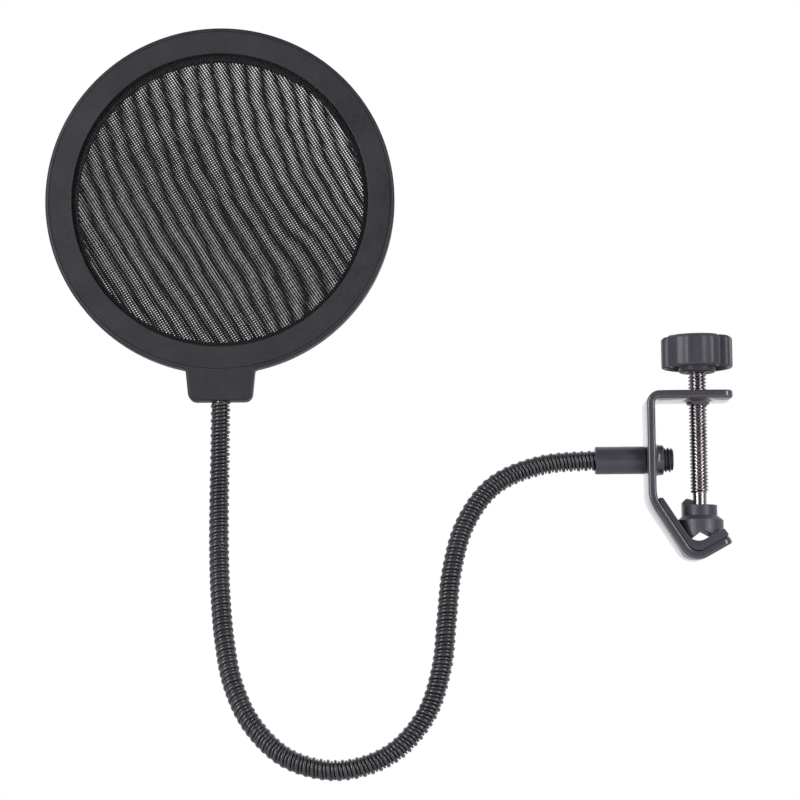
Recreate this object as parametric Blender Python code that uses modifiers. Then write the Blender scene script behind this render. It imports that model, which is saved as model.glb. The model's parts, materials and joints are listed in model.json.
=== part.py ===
"""Pop filter: a double-screen hoop on a gooseneck arm that ends in a screw clamp.

Frame, in metres: +Z up, +X to the right and +Y towards the back. The clamp screw turns on the Z
axis, and the origin is where that axis meets the seat of the clamp's jaw. The hoop hangs to the
left of the clamp, with its screens facing along Y. Each piece is one object in the collection
"pop_filter"; every stretch of the arm has its origin on the joint that it turns on.
"""

import math

import bmesh
import bpy
from mathutils import Matrix, Vector

MM = 0.001
GAP = 0.3 * MM  # between touching pieces

# Driving dimensions: the hoop
HOOP_CENTRE = Vector((-207.8, 25.0, 155.3)) * MM
HOOP_RADIUS = 77.5 * MM
HOOP_THICKNESS = 10.0 * MM
FACE_WIDTH = 12.3 * MM
FLANGE_THICKNESS = 2.0 * MM
OUTER_WALL = 1.8 * MM
EDGE_CHAMFER = 1.5 * MM
SCREEN_THICKNESS = 0.4 * MM
TAB_TOP_WIDTH = 30.6 * MM
TAB_BOTTOM_WIDTH = 27.8 * MM
TAB_DROP = 90.0 * MM  # from the hoop's centre to the tab's lower edge
TAB_CORNER = 3.6 * MM

# Driving dimensions: the arm
ARM_DIAMETER = 8.8 * MM
ARM_BORE = 5.6 * MM
LINK_GAP = 3.0 * MM  # between neighbouring stretches, so that each can bend on the next
SLEEVE_DIAMETER = 11.9 * MM
STUB_DIAMETER = 10.8 * MM
ARM_HEIGHT = 35.5 * MM  # where the arm enters the clamp

# Driving dimensions: the clamp
STRIP_WIDTH = 25.0 * MM
STRIP_THICKNESS = 3.55 * MM
SPINE_X = -23.0 * MM
TOP_ARM_Z = 64.6 * MM
SCREW_DIAMETER = 8.0 * MM
SHANK_DIAMETER = 6.0 * MM
KNOB_RADIUS = 15.4 * MM
KNOB_BOTTOM = 75.2 * MM
KNOB_HEIGHT = 14.0 * MM
KNOB_NOTCH_DEPTH = 3.0 * MM
KNOB_NOTCH_TURN = 46.0  # degrees from +X to the first notch, clockwise from above
HUB_RADIUS = 8.0 * MM
HUB_BOTTOM = 73.2 * MM
NUT_ACROSS_FLATS = 13.0 * MM
BALL_RADIUS = 4.0 * MM
BALL_HEIGHT = 10.2 * MM  # the ball's middle, above the jaw's seat
SCREW_TOP = KNOB_BOTTOM + 8.0 * MM
FOOT_RADIUS = 10.0 * MM
COLLAR_RADIUS = 7.4 * MM

# The arm's centre line, from the hoop's tab round the hanging bend to the clamp, in millimetres.
ARM_ROUTE = (
    (-207.8, 25.0, 65.0),
    (-208.1, 24.3, 39.0),
    (-208.2, 19.9, 17.5),
    (-207.7, 12.0, -3.0),
    (-206.4, 2.0, -22.5),
    (-204.0, -8.8, -41.5),
    (-199.7, -19.7, -60.0),
    (-190.7, -29.9, -77.2),
    (-175.5, -38.0, -90.6),
    (-154.8, -41.9, -95.2),
    (-134.0, -40.7, -88.9),
    (-119.3, -36.5, -73.5),
    (-112.3, -30.6, -53.7),
    (-109.8, -23.7, -33.0),
    (-107.3, -16.7, -12.3),
    (-101.3, -10.1, 7.9),
    (-88.9, -4.7, 24.5),
    (-69.2, -1.0, 33.3),
    (-46.0, 0.0, 35.5),
    (-22.7, 0.0, 35.5),
)
FIRST_BEND = 36.0 * MM  # from the clamp end to the first joint
LAST_BEND = 12.0 * MM  # from the tab to the last joint
BENDS = 8

BLACK_ABS = ((0.050, 0.048, 0.055, 1.0), 0.55, 0.0)
BLACK_NYLON = ((0.020, 0.020, 0.022, 1.0), 0.80, 0.0)
BLACK_STEEL = ((0.035, 0.034, 0.038, 1.0), 0.35, 0.6)
BRIGHT_STEEL = ((0.55, 0.53, 0.54, 1.0), 0.25, 1.0)
BRASS = ((0.70, 0.52, 0.25, 1.0), 0.30, 1.0)


def clear_scene():
    for obj in list(bpy.data.objects):
        bpy.data.objects.remove(obj, do_unlink=True)


def new_collection(name):
    collection = bpy.data.collections.new(name)
    bpy.context.scene.collection.children.link(collection)
    return collection


def material(name, look):
    colour, roughness, metallic = look
    made = bpy.data.materials.new(name)
    made.use_nodes = True
    shader = made.node_tree.nodes["Principled BSDF"]
    shader.inputs["Base Color"].default_value = colour
    shader.inputs["Roughness"].default_value = roughness
    shader.inputs["Metallic"].default_value = metallic
    return made


def finish_mesh(mesh, angle=40.0):
    """Faces pointing out, and round surfaces shaded smooth."""
    cleaned = bmesh.new()
    cleaned.from_mesh(mesh)
    bmesh.ops.remove_doubles(cleaned, verts=cleaned.verts, dist=1e-6)
    bmesh.ops.recalc_face_normals(cleaned, faces=cleaned.faces)
    cleaned.to_mesh(mesh)
    cleaned.free()
    mesh.shade_smooth()
    mesh.set_sharp_from_angle(angle=math.radians(angle))


def put(name, mesh, look, collection):
    """An object for a finished mesh, in its collection and with its own material."""
    obj = bpy.data.objects.new(name, mesh)
    collection.objects.link(obj)
    if look is None:
        obj.hide_render = True
        obj.display_type = "WIRE"
    else:
        mesh.materials.clear()
        mesh.materials.append(material(name, look))
    return obj


def baked(obj):
    """The object's evaluated shape as one clean mesh; the object itself is removed."""
    bpy.context.view_layer.update()
    graph = bpy.context.evaluated_depsgraph_get()
    mesh = bpy.data.meshes.new_from_object(obj.evaluated_get(graph))
    mesh.transform(obj.matrix_world)
    bpy.data.objects.remove(obj, do_unlink=True)
    finish_mesh(mesh)
    return mesh


def turned(profile, sides, turn=None):
    """A mesh turned about Z from a closed (radius, height) profile that runs down its outer side."""
    outline = bmesh.new()
    ring = [outline.verts.new((radius, 0.0, height)) for radius, height in profile]
    for first, second in zip(ring, ring[1:] + ring[:1]):
        if first.co.x > 0.0 or second.co.x > 0.0:
            outline.edges.new((first, second))
    mesh = bpy.data.meshes.new("turned")
    outline.to_mesh(mesh)
    outline.free()
    obj = bpy.data.objects.new("turned", mesh)
    bpy.context.scene.collection.objects.link(obj)
    screw = obj.modifiers.new("Turn", "SCREW")
    screw.steps = sides
    screw.render_steps = sides
    screw.use_merge_vertices = True
    screw.merge_threshold = 1e-5
    if turn is not None:
        obj.matrix_world = turn
    return baked(obj)


def prism(outline, depth, chamfer=0.0, turn=None):
    """A flat outline in XY with the given depth along Z, centred, its edges chamfered."""
    curve = bpy.data.curves.new("prism", "CURVE")
    curve.dimensions = "2D"
    curve.fill_mode = "BOTH"
    spline = curve.splines.new("POLY")
    spline.points.add(len(outline) - 1)
    for point, (x, y) in zip(spline.points, outline):
        point.co = (x, y, 0.0, 1.0)
    spline.use_cyclic_u = True
    curve.extrude = depth / 2 - chamfer
    curve.bevel_depth = chamfer
    curve.bevel_resolution = 0
    curve.offset = -chamfer
    obj = bpy.data.objects.new("prism", curve)
    bpy.context.scene.collection.objects.link(obj)
    if turn is not None:
        obj.matrix_world = turn
    return baked(obj)


def boolean(obj, operation, cutter):
    change = obj.modifiers.new(operation.title() + " " + cutter.name, "BOOLEAN")
    change.operation = operation
    change.solver = "EXACT"
    change.object = cutter


def rounded(corners, arc_step=15.0):
    """A path through the corners given as (x, y, radius), each corner replaced by an arc."""
    points = []
    for index, (x, y, radius) in enumerate(corners):
        corner = Vector((x, y))
        if radius == 0.0:
            points.append(corner)
            continue
        before = Vector(corners[index - 1][:2])
        after = Vector(corners[(index + 1) % len(corners)][:2])
        arriving = (corner - before).normalized()
        leaving = (after - corner).normalized()
        angle = arriving.angle(leaving)
        side = 1.0 if arriving.cross(leaving) > 0.0 else -1.0
        start = corner - arriving * radius * math.tan(angle / 2)
        normal = Vector((-arriving.y, arriving.x)) * side
        centre = start + normal * radius
        steps = max(2, round(math.degrees(angle) / arc_step))
        for step in range(steps + 1):
            spoke = -normal * radius
            spoke.rotate(Matrix.Rotation(side * angle * step / steps, 2))
            points.append(centre + spoke)
    return points


def smooth_route(points, spacing):
    """Points a fixed distance apart along a centripetal curve through the route's own points."""
    dense = []
    for index in range(len(points) - 1):
        a, b = points[index], points[index + 1]
        before = points[index - 1] if index else a * 2 - b
        after = points[index + 2] if index + 2 < len(points) else b * 2 - a
        span = math.sqrt((b - a).length)
        span_before = math.sqrt((a - before).length)
        span_after = math.sqrt((after - b).length)
        leave = (a - before) / span_before - (b - before) / (span_before + span) + (b - a) / span
        reach = (b - a) / span - (after - a) / (span + span_after) + (after - b) / span_after
        leave = leave * span
        reach = reach * span
        for step in range(40):
            t = step / 40
            dense.append(
                a * (2 * t**3 - 3 * t**2 + 1) + leave * (t**3 - 2 * t**2 + t)
                + b * (3 * t**2 - 2 * t**3) + reach * (t**3 - t**2)
            )
    dense.append(points[-1])
    lengths = [0.0]
    for first, second in zip(dense, dense[1:]):
        lengths.append(lengths[-1] + (second - first).length)
    count = max(1, round(lengths[-1] / spacing))
    evenly = []
    index = 0
    for step in range(count + 1):
        wanted = lengths[-1] * step / count
        while index < len(lengths) - 2 and lengths[index + 1] < wanted:
            index += 1
        share = (wanted - lengths[index]) / (lengths[index + 1] - lengths[index])
        evenly.append(dense[index].lerp(dense[index + 1], min(max(share, 0.0), 1.0)))
    return evenly, lengths[-1]


FRONT_TO_BACK = Matrix.Rotation(math.radians(-90.0), 4, "X")  # local +Z becomes world +Y
UPRIGHT_OUTLINE = Matrix.Rotation(math.radians(90.0), 4, "X")  # local XY becomes world XZ
ALONG_X = Matrix.Rotation(math.radians(90.0), 4, "Y")  # local +Z becomes world +X


def at_hoop(turn):
    return Matrix.Translation(HOOP_CENTRE) @ turn


def tab_outline(inset):
    """The tab's rounded, slightly tapered outline below the hoop's centre, from inside the hoop."""
    top = -HOOP_RADIUS + 4.0 * MM
    half_top = TAB_TOP_WIDTH / 2 - inset
    half_bottom = TAB_BOTTOM_WIDTH / 2 - inset
    bottom = -TAB_DROP + inset
    corner = TAB_CORNER - inset
    return rounded(
        (
            (-half_top, top, 0.0),
            (-half_bottom, bottom, corner),
            (half_bottom, bottom, corner),
            (half_top, top, 0.0),
        ),
        22.5,
    )


SCREW_X = 9.6 * MM  # the tab's fasteners, either side of the arm's end fitting
SCREW_Z = -TAB_DROP + 7.0 * MM
FITTING_HEAD_BOTTOM = -TAB_DROP + 3.6 * MM
FITTING_HEAD_LENGTH = 7.0 * MM


def block(name, low, high, collection):
    """A plain cutter box between two corners."""
    bpy.ops.mesh.primitive_cube_add(size=1.0)
    cube = bpy.context.object
    low, high = Vector(low), Vector(high)
    cube.scale = high - low
    cube.location = (low + high) / 2
    return put(name, baked(cube), None, collection)


def hoop_half(name, back, parts, cutters):
    """One of the two matching shells: an L-shaped ring with half of the tab, parted at Y = 0."""
    half = HOOP_THICKNESS / 2
    parting = GAP / 2
    inner = HOOP_RADIUS - FACE_WIDTH
    wall = HOOP_RADIUS - OUTER_WALL
    profile = (
        (HOOP_RADIUS - EDGE_CHAMFER, half),
        (HOOP_RADIUS - 0.4 * EDGE_CHAMFER, half - 0.4 * EDGE_CHAMFER),
        (HOOP_RADIUS, half - EDGE_CHAMFER),
        (HOOP_RADIUS, parting),
        (wall, parting),
        (wall, half - FLANGE_THICKNESS),
        (inner - 1.6 * MM, half - FLANGE_THICKNESS),
        (inner - 1.6 * MM, half - 0.7 * FLANGE_THICKNESS),
        (inner, half),
    )
    # The shell is built facing +Z; the front one is turned to face -Y and the back one +Y.
    facing = FRONT_TO_BACK if back else UPRIGHT_OUTLINE
    shell = put(name, turned(profile, 72, at_hoop(facing)), BLACK_ABS, parts)
    side = 1.0 if back else -1.0
    tab = put(
        name + "_tab",
        prism(tab_outline(0.0), HOOP_THICKNESS, 1.2 * MM, at_hoop(UPRIGHT_OUTLINE)),
        None, cutters,
    )
    # The tab keeps clear of the space inside the hoop, and stops at the parting plane.
    inside = put(
        name + "_inside",
        turned(
            ((wall, half - FLANGE_THICKNESS), (wall, -half - MM), (0.0, -half - MM),
             (0.0, half + MM), (inner + 2.0 * MM, half + MM),
             (inner + 2.0 * MM, half - FLANGE_THICKNESS)),
            72, at_hoop(facing),
        ),
        None, cutters,
    )
    near = HOOP_CENTRE.y + side * parting
    far = HOOP_CENTRE.y - side * 20.0 * MM
    parting_box = block(
        name + "_parting",
        (HOOP_CENTRE.x - 30 * MM, min(near, far), HOOP_CENTRE.z - 100 * MM),
        (HOOP_CENTRE.x + 30 * MM, max(near, far), HOOP_CENTRE.z - 60 * MM), cutters,
    )
    boolean(tab, "DIFFERENCE", inside)
    boolean(tab, "DIFFERENCE", parting_box)
    boolean(shell, "UNION", tab)
    # A pocket for the head of the arm's end fitting, and the way down out of the tab for its neck.
    pocket = put(
        name + "_pocket",
        turned(
            ((3.9 * MM, FITTING_HEAD_BOTTOM + FITTING_HEAD_LENGTH + GAP),
             (3.9 * MM, FITTING_HEAD_BOTTOM - GAP), (2.9 * MM, FITTING_HEAD_BOTTOM - GAP),
             (2.9 * MM, -TAB_DROP - 2.0 * MM), (0.0, -TAB_DROP - 2.0 * MM),
             (0.0, FITTING_HEAD_BOTTOM + FITTING_HEAD_LENGTH + GAP)),
            24, Matrix.Translation(HOOP_CENTRE),
        ),
        None, cutters,
    )
    boolean(shell, "DIFFERENCE", pocket)
    for index, x in enumerate((-SCREW_X, SCREW_X)):
        hole = put(f"{name}_hole_{index}", screw_hole(back, x), None, cutters)
        boolean(shell, "DIFFERENCE", hole)


def screw_hole(back, x):
    """Through and countersunk in the back shell; blind in the front one."""
    place = Matrix.Translation(HOOP_CENTRE + Vector((x, 0.0, SCREW_Z))) @ FRONT_TO_BACK
    half = HOOP_THICKNESS / 2
    if back:
        profile = (
            (2.9 * MM, half + MM), (2.9 * MM, half - 1.8 * MM), (1.6 * MM, half - 1.8 * MM),
            (1.6 * MM, -MM), (0.0, -MM), (0.0, half + MM),
        )
    else:
        profile = ((1.4 * MM, MM), (1.4 * MM, -3.2 * MM), (0.0, -3.2 * MM), (0.0, MM))
    return turned(profile, 16, place)


def tab_screw(name, x, parts, cutters):
    """A small cross-recessed screw, put in from the back."""
    half = HOOP_THICKNESS / 2
    head_top = half - 0.3 * MM
    place = Matrix.Translation(HOOP_CENTRE + Vector((x, 0.0, SCREW_Z))) @ FRONT_TO_BACK
    profile = (
        (0.0, head_top), (2.0 * MM, head_top - 0.1 * MM), (2.5 * MM, head_top - 0.6 * MM),
        (2.5 * MM, half - 1.5 * MM), (1.1 * MM, half - 1.5 * MM), (1.1 * MM, -2.6 * MM),
        (0.0, -2.9 * MM),
    )
    screw = put(name, turned(profile, 16, place), BLACK_STEEL, parts)
    for index, turn in enumerate((0.0, 90.0)):
        slot = block(
            f"{name}_slot_{index}", (-1.6 * MM, -0.35 * MM, head_top - 0.7 * MM),
            (1.6 * MM, 0.35 * MM, head_top + MM), cutters,
        )
        slot.matrix_world = place @ Matrix.Rotation(math.radians(turn), 4, "Z")
        boolean(screw, "DIFFERENCE", slot)


def screens(parts):
    """The two stretched screens and the ring that holds them apart, inside the hoop."""
    wall = HOOP_RADIUS - OUTER_WALL
    seat = HOOP_THICKNESS / 2 - FLANGE_THICKNESS - 0.2 * MM
    for name, side in (("front_mesh", -1.0), ("rear_mesh", 1.0)):
        outer = seat
        inner = seat - SCREEN_THICKNESS
        radius = wall - 1.5 * MM
        profile = ((0.0, outer), (radius, outer), (radius, inner), (0.0, inner))
        facing = FRONT_TO_BACK if side > 0.0 else UPRIGHT_OUTLINE
        put(name, turned(profile, 64, at_hoop(facing)), BLACK_NYLON, parts)
    half = seat - SCREEN_THICKNESS - 0.2 * MM
    outer = wall - 1.0 * MM
    inner = HOOP_RADIUS - FACE_WIDTH - 1.2 * MM
    profile = ((outer, half), (outer, -half), (inner, -half), (inner, half))
    put("mesh_spacer_ring", turned(profile, 64, at_hoop(FRONT_TO_BACK)), BLACK_ABS, parts)


def end_fitting(parts):
    """The turned fitting that the arm's end is pressed on, its head held between the tab halves."""
    head_top = FITTING_HEAD_BOTTOM + FITTING_HEAD_LENGTH
    profile = (
        (0.0, head_top), (3.0 * MM, head_top), (3.5 * MM, head_top - 0.5 * MM),
        (3.5 * MM, FITTING_HEAD_BOTTOM), (2.45 * MM, FITTING_HEAD_BOTTOM),
        (2.45 * MM, -TAB_DROP - 8.0 * MM), (0.0, -TAB_DROP - 8.5 * MM),
    )
    put("neck_end_fitting", turned(profile, 24, Matrix.Translation(HOOP_CENTRE)), BRASS, parts)


def arm(parts):
    """Nine hollow stretches of the arm, each of which turns on the one before, from the clamp out."""
    route = [Vector(point) * MM for point in reversed(ARM_ROUTE)]
    line, length = smooth_route(route, 0.5 * MM)
    spacing = length / (len(line) - 1)
    step = (length - FIRST_BEND - LAST_BEND) / (BENDS - 1)
    joints = [FIRST_BEND + step * index for index in range(BENDS)]
    ends = [0.0] + joints + [length]
    for index in range(BENDS + 1):
        start = ends[index] + (LINK_GAP / 2 if index else 0.0)
        stop = ends[index + 1] - (LINK_GAP / 2 if index < BENDS else GAP)
        pieces = max(2, round((stop - start) / (5.5 * MM)))
        picked = []
        for number in range(pieces + 1):
            place = (start + (stop - start) * number / pieces) / spacing
            low = min(int(place), len(line) - 2)
            picked.append(line[low].lerp(line[low + 1], place - low))
        pivot = line[min(round(ends[index] / spacing), len(line) - 1)]
        tube = hollow_tube(picked, pivot)
        link = put(f"neck_link_{index + 1}", tube, BLACK_STEEL, parts)
        link.location = pivot


def hollow_tube(points, pivot):
    """A tube along the points, as a mesh about the pivot."""
    curve = bpy.data.curves.new("tube", "CURVE")
    curve.dimensions = "3D"
    spline = curve.splines.new("POLY")
    spline.points.add(len(points) - 1)
    for target, point in zip(spline.points, points):
        target.co = (*(point - pivot), 1.0)
    curve.bevel_depth = ARM_DIAMETER / 2
    curve.bevel_resolution = 4
    obj = bpy.data.objects.new("tube", curve)
    bpy.context.scene.collection.objects.link(obj)
    wall = obj.modifiers.new("Wall", "SOLIDIFY")
    wall.thickness = (ARM_DIAMETER - ARM_BORE) / 2
    wall.offset = -1.0
    return baked(obj)


def bushing_and_sleeve(parts):
    """The threaded fitting that fixes the arm in the clamp's spine, and the sleeve over the joint."""
    place = Matrix.Translation((0.0, 0.0, ARM_HEIGHT)) @ ALONG_X
    radius = STUB_DIAMETER / 2
    tip = -11.3 * MM
    shoulder = SPINE_X + 0.8 * MM
    profile = (
        (0.0, tip), (radius - 0.8 * MM, tip), (radius, tip - 0.8 * MM), (radius, shoulder),
        (2.45 * MM, shoulder), (2.45 * MM, shoulder - 16.0 * MM), (0.0, shoulder - 16.5 * MM),
    )
    put("neck_bushing", turned(profile, 28, place), BLACK_STEEL, parts)
    outer = SLEEVE_DIAMETER / 2
    bore = ARM_DIAMETER / 2 + GAP
    right = SPINE_X - GAP
    left = -44.8 * MM
    profile = (
        (outer - 0.4 * MM, right), (outer, right - 0.4 * MM), (outer, left + 0.4 * MM),
        (outer - 0.4 * MM, left), (bore, left), (bore, right),
    )
    put("neck_sleeve", turned(profile, 28, place), BLACK_ABS, parts)


def strip_line():
    """The outer line of the bent strip in XZ, from the free end of its top arm to the jaw's tip."""
    return (
        (14.2 * MM, TOP_ARM_Z, 0.0),
        (SPINE_X, TOP_ARM_Z, 5.6 * MM),
        (SPINE_X, 17.3 * MM, 15.0 * MM),
        (-4.9 * MM, -10.7 * MM, 8.4 * MM),
        (12.9 * MM, -0.85 * MM, 0.0),
    )


def clamp_bracket(parts, cutters):
    """One bent steel strip with rounded ends and two drawn collars for the screw and the arm."""
    line = rounded(strip_line())
    tip_round = 4.0 * MM
    inward = []
    for step in range(4):
        turn = math.radians(30.0 * step)
        inward.append((tip_round * (1.0 - math.cos(turn)), tip_round * (1.0 - math.sin(turn))))
    rows = []
    start, second = line[0], line[1]
    last, before_last = line[-1], line[-2]
    for along, narrowing in inward:
        rows.append((start + (second - start).normalized() * along, narrowing))
    for point in line[1:-1]:
        rows.append((point, 0.0))
    for along, narrowing in reversed(inward):
        rows.append((last + (before_last - last).normalized() * along, narrowing))
    sheet = bmesh.new()
    pairs = []
    for point, narrowing in rows:
        reach = STRIP_WIDTH / 2 - narrowing
        pairs.append([sheet.verts.new((point.x, y, point.y)) for y in (-reach, reach)])
    for (a, b), (c, d) in zip(pairs, pairs[1:]):
        sheet.faces.new((a, b, d, c))
    mesh = bpy.data.meshes.new("strip")
    sheet.to_mesh(mesh)
    sheet.free()
    obj = bpy.data.objects.new("strip", mesh)
    bpy.context.scene.collection.objects.link(obj)
    thick = obj.modifiers.new("Thickness", "SOLIDIFY")
    thick.thickness = STRIP_THICKNESS
    thick.offset = -1.0
    thick.use_even_offset = True
    edges = obj.modifiers.new("Rolled edges", "BEVEL")
    edges.width = 0.5 * MM
    edges.segments = 1
    edges.limit_method = "ANGLE"
    edges.angle_limit = math.radians(50.0)
    bracket = put("clamp_bracket", baked(obj), BLACK_STEEL, parts)
    under = TOP_ARM_Z - STRIP_THICKNESS
    inside = SPINE_X + STRIP_THICKNESS
    stub_place = Matrix.Translation((0.0, 0.0, ARM_HEIGHT)) @ ALONG_X
    collar = ((6.2 * MM, under + MM), (5.2 * MM, under - 1.8 * MM),
              (0.0, under - 1.8 * MM), (0.0, under + MM))
    boss = ((6.6 * MM, inside + 4.0 * MM), (8.2 * MM, inside - MM),
            (0.0, inside - MM), (0.0, inside + 4.0 * MM))
    boolean(bracket, "UNION", put("arm_collar", turned(collar, 28), None, cutters))
    boolean(bracket, "UNION", put("spine_boss", turned(boss, 28, stub_place), None, cutters))
    hole = SCREW_DIAMETER / 2 + GAP
    bore = ((hole, 80 * MM), (hole, 50 * MM), (0.0, 50 * MM), (0.0, 80 * MM))
    boolean(bracket, "DIFFERENCE", put("screw_bore", turned(bore, 28), None, cutters))
    hole = STUB_DIAMETER / 2 + GAP
    bore = ((hole, -5 * MM), (hole, -35 * MM), (0.0, -35 * MM), (0.0, -5 * MM))
    boolean(bracket, "DIFFERENCE", put("stub_bore", turned(bore, 28, stub_place), None, cutters))


LEFT_LEG = (Vector((-20.8, 13.9)) * MM, Vector((0.543, -0.840)))  # a point and its direction
RIGHT_LEG = (Vector((1.75, -7.0)) * MM, Vector((0.875, 0.484)))


def leg_corner(left_offset, right_offset):
    """Where two lines parallel to the jaw's legs cross, each moved into the jaw by its offset."""
    a, u = LEFT_LEG
    b, v = RIGHT_LEG
    a = a + Vector((-u.y, u.x)) * left_offset
    b = b + Vector((-v.y, v.x)) * right_offset
    along = (b - a).cross(v) / u.cross(v)
    return a + u * along


def on_leg(leg, offset, along):
    point, direction = leg
    return point + Vector((-direction.y, direction.x)) * offset + direction * along


LINER_BACK = STRIP_THICKNESS + GAP
LINER_LEFT = 5.75 * MM  # the seat's distance from the strip's outer line, on each leg
LINER_RIGHT = 7.1 * MM
SEAT_RADIUS = 5.6 * MM


def jaw_liner(parts):
    """The moulded vee that lies in the jaw and takes the tube or edge that is clamped."""
    top_back = on_leg(LEFT_LEG, LINER_BACK + 0.7 * MM, -2.6 * MM)
    straight_back = on_leg(LEFT_LEG, LINER_BACK, 0.4 * MM)
    top_seat = on_leg(LEFT_LEG, LINER_LEFT, -1.5 * MM)
    seat = leg_corner(LINER_LEFT, LINER_RIGHT)
    end_seat = on_leg(RIGHT_LEG, LINER_RIGHT, 12.2 * MM)
    end_back = on_leg(RIGHT_LEG, LINER_BACK, 12.6 * MM)
    back = leg_corner(LINER_BACK, LINER_BACK)
    outline = rounded(
        (
            (*top_back, 0.0), (*straight_back, 0.0), (*back, 6.0 * MM), (*end_back, 0.8 * MM),
            (*end_seat, 0.8 * MM), (*seat, SEAT_RADIUS), (*top_seat, 0.0),
        ),
        18.0,
    )
    width = STRIP_WIDTH - 0.8 * MM
    put("jaw_liner", prism(outline, width, 0.4 * MM, UPRIGHT_OUTLINE), BLACK_ABS, parts)


def swivel_foot(parts, cutters):
    """The pressure foot: a flanged cup that snaps over the screw's ball, cut to sit in the vee."""
    top = 15.8 * MM
    ball = BALL_RADIUS + 0.4 * MM
    mouth = 3.5 * MM
    socket = []
    for step in range(7):
        turn = math.asin(mouth / ball) + (math.pi - math.asin(mouth / ball)) * step / 6
        socket.append((ball * math.sin(turn), BALL_HEIGHT + ball * math.cos(turn)))
    outer = (
        (COLLAR_RADIUS - 0.4 * MM, top), (COLLAR_RADIUS, top - 0.4 * MM),
        (COLLAR_RADIUS, 11.2 * MM), (FOOT_RADIUS, 9.3 * MM), (FOOT_RADIUS, -2.0 * MM),
        (0.0, -2.0 * MM), (0.0, top),
    )
    foot = put("swivel_foot", turned(outer, 36), BLACK_ABS, parts)
    ear = ((-7.2 * MM, 11.5 * MM), (-2.6 * MM, 11.5 * MM), (-2.6 * MM, 18.2 * MM),
           (-5.6 * MM, 18.8 * MM), (-7.2 * MM, 17.4 * MM))
    ear_place = Matrix.Translation((0.0, 3.0 * MM, 0.0)) @ UPRIGHT_OUTLINE
    boolean(foot, "UNION", put("foot_ear", prism(ear, 7.0 * MM, 0.0, ear_place), None, cutters))
    cup = ((0.0, top + 5 * MM), (mouth, top + 5 * MM), *socket)
    boolean(foot, "DIFFERENCE", put("foot_cup", turned(cup, 24), None, cutters))
    # What stays is above the vee's seat, less the gap, and clear of the notch under the foot.
    clear = GAP
    left_low = leg_corner(LINER_LEFT + clear, LINER_RIGHT + clear)
    left_top = on_leg(LEFT_LEG, LINER_LEFT + clear, -20.0 * MM)
    right_top = on_leg(RIGHT_LEG, LINER_RIGHT + clear, 30.0 * MM)
    under = rounded(
        (
            (*left_top, 0.0), (*left_low, SEAT_RADIUS - clear), (*right_top, 0.0),
            (right_top.x, -30 * MM, 0.0), (left_top.x, -30 * MM, 0.0),
        ),
        18.0,
    )
    seat_cut = put("foot_seat", prism(under, 40 * MM, 0.0, UPRIGHT_OUTLINE), None, cutters)
    boolean(foot, "DIFFERENCE", seat_cut)
    notch = ((0.6 * MM, 5.0 * MM), (-11.4 * MM, -4.4 * MM), (14.6 * MM, -3.1 * MM))
    notch_cut = put("foot_notch", prism(notch, 40 * MM, 0.0, UPRIGHT_OUTLINE), None, cutters)
    boolean(foot, "DIFFERENCE", notch_cut)


def clamp_screw(parts):
    """The spindle: ball tip, plain shank and the threaded length, at its crest diameter."""
    shank = SHANK_DIAMETER / 2
    crest = SCREW_DIAMETER / 2
    profile = [
        (0.0, SCREW_TOP), (crest - 0.6 * MM, SCREW_TOP), (crest, SCREW_TOP - 0.6 * MM),
        (crest, 21.3 * MM), (shank, 20.5 * MM),
    ]
    start = math.asin(shank / BALL_RADIUS)
    for step in range(7):
        turn = start + (math.pi - start) * step / 6
        profile.append((BALL_RADIUS * math.sin(turn), BALL_HEIGHT + BALL_RADIUS * math.cos(turn)))
    put("clamp_screw", turned(profile, 24), BRIGHT_STEEL, parts)


def knob_outline(inset):
    """Three broad grips with shallow ribs, parted by three notches."""
    points = []
    count = 96
    for index in range(count):
        turn = 2 * math.pi * index / count
        lobe = math.radians((math.degrees(turn) + KNOB_NOTCH_TURN) % 120.0)
        away = min(lobe, math.radians(120.0) - lobe)
        notch = math.exp(-((away / math.radians(9.0)) ** 2))
        radius = KNOB_RADIUS - inset - KNOB_NOTCH_DEPTH * notch
        radius -= 0.25 * MM * (1.0 + math.cos(18.0 * turn)) * (1.0 - notch)
        points.append((radius * math.cos(turn), radius * math.sin(turn)))
    return points


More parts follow.
